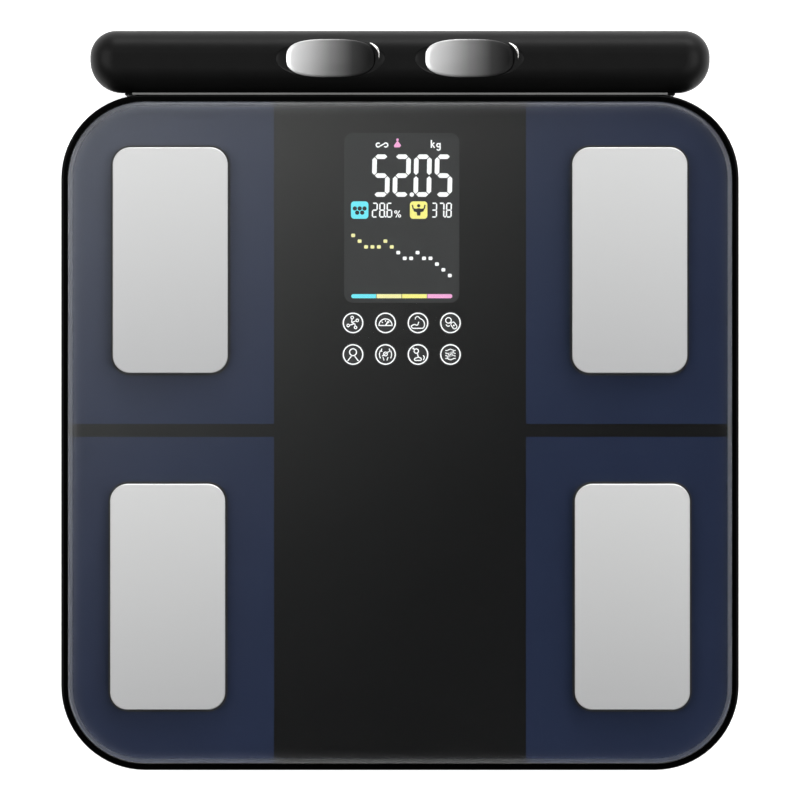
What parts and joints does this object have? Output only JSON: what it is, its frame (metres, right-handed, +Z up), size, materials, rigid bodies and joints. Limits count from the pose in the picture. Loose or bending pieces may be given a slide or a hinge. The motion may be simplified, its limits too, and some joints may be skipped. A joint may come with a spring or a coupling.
{
  "type": "digital bathroom scale",
  "caption": "Square glass-topped digital bathroom scale with steel foot electrodes, a lit display and a detachable hand bar with thumb electrodes docked behind it.",
  "frame": {"origin": "on the floor under the centre of the whole outline, hand bar included", "axes": "+Z up, +Y from the platform towards the hand bar, +X to the right of the person standing on it facing the display"},
  "size_m": [0.31, 0.3386, 0.0288],
  "materials": {
    "housing_plastic": "fine moulded texture, black ABS",
    "frame_plastic": "polished black ABS",
    "platform_glass": "clear tempered glass",
    "printed_film": "printed black and dark navy behind glass",
    "electrode_steel": "fine satin, pale silver",
    "thumb_chrome": "polished",
    "plated_steel": "zinc plated",
    "cell_steel": "nickel plated sheet",
    "magnet_plating": "nickel plated",
    "display_glass": "dark grey display panel, lit",
    "light_guide": "white light guide",
    "board_laminate": "green solder mask",
    "board_components": "black moulded components",
    "button_plastic": "grey moulded plastic",
    "battery_case": "plain printed jacket with bare ends",
    "reel_plastic": "dark acetal",
    "cradle_plastic": "satin black ABS",
    "strip_plastic": "satin silver-grey trim",
    "handle_plastic": "soft satin black",
    "soft_rubber": "black rubber",
    "foot_rubber": "dark grey rubber",
    "foot_plastic": "black nylon",
    "lead_sleeve": "coloured PVC sleeve"
  },
  "bodies": {
    "platform": {"battery_1": "battery_case", "battery_2": "battery_case", "battery_3": "battery_case", "battery_4": "battery_case", "battery_contacts": "plated_steel", "battery_springs": "plated_steel", "board_parts": "board_components", "cradle": "cradle_plastic", "cradle_magnets": "magnet_plating", "cradle_screws": "plated_steel", "cradle_strip": "strip_plastic", "decor_film": "printed_film", "electrode_leads": "lead_sleeve", "electrode_nuts": "plated_steel", "foot_electrode_front_left": "electrode_steel", "foot_electrode_front_right": "electrode_steel", "foot_electrode_rear_left": "electrode_steel", "foot_electrode_rear_right": "electrode_steel", "foot_front_left": "foot_plastic", "foot_front_right": "foot_plastic", "foot_pad_front_left": "foot_rubber", "foot_pad_front_right": "foot_rubber", "foot_pad_rear_left": "foot_rubber", "foot_pad_rear_right": "foot_rubber", "foot_rear_left": "foot_plastic", "foot_rear_right": "foot_plastic", "glass_platform": "platform_glass", "housing_screws": "plated_steel", "lcd_backlight": "light_guide", "lcd_holder": "housing_plastic", "lcd_panel": "display_glass", "lead_bushing": "soft_rubber", "load_cell_front_left": "cell_steel", "load_cell_front_right": "cell_steel", "load_cell_leads": "lead_sleeve", "load_cell_rear_left": "cell_steel", "load_cell_rear_right": "cell_steel", "lower_housing": "housing_plastic", "main_board": "board_laminate", "reel_axle": "plated_steel", "reel_cover": "reel_plastic", "reel_screws": "plated_steel", "reel_spring": "plated_steel", "top_frame": "frame_plastic", "unit_switch": "board_components"},
    "handle": {"handle_top_shell": "handle_plastic", "handle_bottom_shell": "handle_plastic", "thumb_electrode_left": "thumb_chrome", "thumb_electrode_right": "thumb_chrome", "finger_electrode_left": "thumb_chrome", "finger_electrode_right": "thumb_chrome", "handle_magnets": "magnet_plating", "handle_screws": "plated_steel", "lead_gland": "soft_rubber"},
    "reel": {"reel_drum": "reel_plastic"},
    "battery_cover": {"battery_door": "housing_plastic"},
    "unit_key": {"unit_button": "button_plastic"}
  },
  "joints": [
    {"name": "handle_lift", "type": "slide", "parent": "platform", "child": "handle", "axis": [0, 0, 1], "range_m": [0, 0.12]},
    {"name": "reel_spin", "type": "hinge", "parent": "platform", "child": "reel", "pos_m": [0, -0.00481, 0.0103], "axis": [0, 0, 1], "range_deg": [0, 315]},
    {"name": "battery_door_swing", "type": "hinge", "parent": "platform", "child": "battery_cover", "pos_m": [0, -0.12481, 0.006], "axis": [-1, 0, 0], "range_deg": [0, 40]},
    {"name": "unit_button_press", "type": "slide", "parent": "platform", "child": "unit_key", "axis": [0, 0, 1], "range_m": [0, 0.0005], "stiffness_N_per_m": 3000}
  ],
  "couplings": [
    {"joint": "reel_spin", "follows": "handle_lift", "rad_per_m": 45.455}
  ]
}
